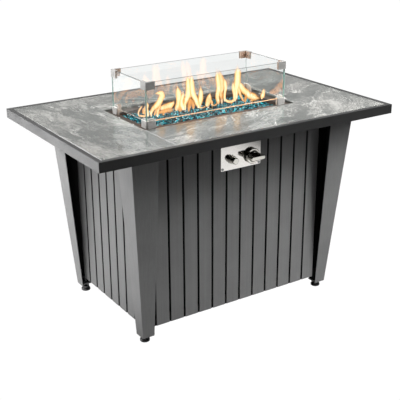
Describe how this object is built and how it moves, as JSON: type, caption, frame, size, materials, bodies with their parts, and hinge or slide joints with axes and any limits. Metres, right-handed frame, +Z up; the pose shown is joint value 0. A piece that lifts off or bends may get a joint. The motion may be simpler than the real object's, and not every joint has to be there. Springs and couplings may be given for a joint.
{
  "type": "fire pit table",
  "caption": "Rectangular outdoor gas fire pit table: grey marble-look top in a dark metal frame, glass wind guard round a fire glass burner, slatted cabinet on splayed legs.",
  "frame": {"origin": "on the ground under the middle of the table top", "axes": "+X along the table's long side, to the right seen from the controls; -Y is the control side; +Z up"},
  "size_m": [1.067, 0.66, 0.7905],
  "materials": {
    "frame_paint": "dark grey powder coat, fine texture",
    "slat_paint": "dark grey powder coat, fine texture",
    "inner_black": "matt black paint",
    "stone": "polished grey marble-look slab",
    "pan_black": "heat resistant black paint",
    "stainless": "brushed stainless steel",
    "chrome": "bright chrome plate",
    "brass": "turned brass",
    "fire_glass": "crushed blue and black fire glass",
    "clear_glass": "clear tempered glass",
    "ceramic": "white glazed ceramic",
    "rubber": "black moulded glide",
    "lead": "black lead sleeve",
    "plastic": "black moulded plastic",
    "zinc": "zinc plated steel"
  },
  "bodies": {
    "root": {"top_rail_front": "frame_paint", "top_rail_rear": "frame_paint", "top_rail_left": "frame_paint", "top_rail_right": "frame_paint", "rail_corner_brackets": "zinc", "stone_left": "stone", "stone_right": "stone", "stone_front": "stone", "stone_rear": "stone", "top_subframe": "inner_black", "burner_pan": "pan_black", "burner_tube": "stainless", "air_mixer": "brass", "fire_glass_bed": "fire_glass", "pilot_bracket": "stainless", "spark_electrode": "ceramic", "control_plate": "stainless", "valve_body": "brass", "igniter_bezel": "chrome", "igniter_body": "plastic", "gas_feed_pipe": "stainless", "igniter_lead": "lead", "thermocouple": "brass", "heat_shield": "stainless", "base_frame": "inner_black", "corner_posts": "inner_black", "front_slats": "slat_paint", "left_slats": "slat_paint", "right_slats": "slat_paint", "rear_slats": "slat_paint", "panel_liners": "inner_black", "base_shelf": "inner_black", "hinge_leaves_fixed": "frame_paint", "hinge_pins": "zinc", "magnet_catch": "plastic", "leg_front_left": "slat_paint", "leg_front_right": "slat_paint", "leg_rear_left": "slat_paint", "leg_rear_right": "slat_paint", "leg_bolts": "zinc", "machine_screws": "zinc"},
    "wind_guard": {"guard_glass_front": "clear_glass", "guard_glass_rear": "clear_glass", "guard_glass_left": "clear_glass", "guard_glass_right": "clear_glass", "guard_top_clips": "stainless", "guard_foot_brackets": "stainless"},
    "access_door": {"door_sheet": "inner_black", "door_slats": "slat_paint", "hinge_leaves_door": "frame_paint", "door_handle": "stainless"},
    "valve_core": {"valve_plug": "brass"},
    "knob": {"control_knob": "chrome", "valve_stem": "stainless"},
    "igniter_push_button": {"igniter_button": "chrome", "igniter_spring": "stainless"},
    "foot_fl": {"foot_front_left": "rubber"},
    "foot_fr": {"foot_front_right": "rubber"},
    "foot_rl": {"foot_rear_left": "rubber"},
    "foot_rr": {"foot_rear_right": "rubber"}
  },
  "joints": [
    {"name": "guard_lift", "type": "slide", "parent": "root", "child": "wind_guard", "axis": [0, 0, 1], "range_m": [0, 0.15]},
    {"name": "door_hinge", "type": "hinge", "parent": "root", "child": "access_door", "pos_m": [-0.2635, 0.2326, 0.3], "axis": [0, 0, 1], "range_deg": [0, 110]},
    {"name": "knob_turn", "type": "hinge", "parent": "root", "child": "valve_core", "pos_m": [0.04, -0.226, 0.544], "axis": [0, -1, 0], "range_deg": [0, 90]},
    {"name": "knob_push", "type": "slide", "parent": "valve_core", "child": "knob", "axis": [0, 1, 0], "range_m": [0, 0.0035], "stiffness_N_per_m": 700, "springref_m": -0.003},
    {"name": "igniter_press", "type": "slide", "parent": "root", "child": "igniter_push_button", "axis": [0, 1, 0], "range_m": [0, 0.005], "stiffness_N_per_m": 400, "springref_m": -0.003},
    {"name": "foot_fl_level", "type": "slide", "parent": "root", "child": "foot_fl", "axis": [0, 0, 1], "range_m": [-0.01, 0]},
    {"name": "foot_fr_level", "type": "slide", "parent": "root", "child": "foot_fr", "axis": [0, 0, 1], "range_m": [-0.01, 0]},
    {"name": "foot_rl_level", "type": "slide", "parent": "root", "child": "foot_rl", "axis": [0, 0, 1], "range_m": [-0.01, 0]},
    {"name": "foot_rr_level", "type": "slide", "parent": "root", "child": "foot_rr", "axis": [0, 0, 1], "range_m": [-0.01, 0]}
  ]
}
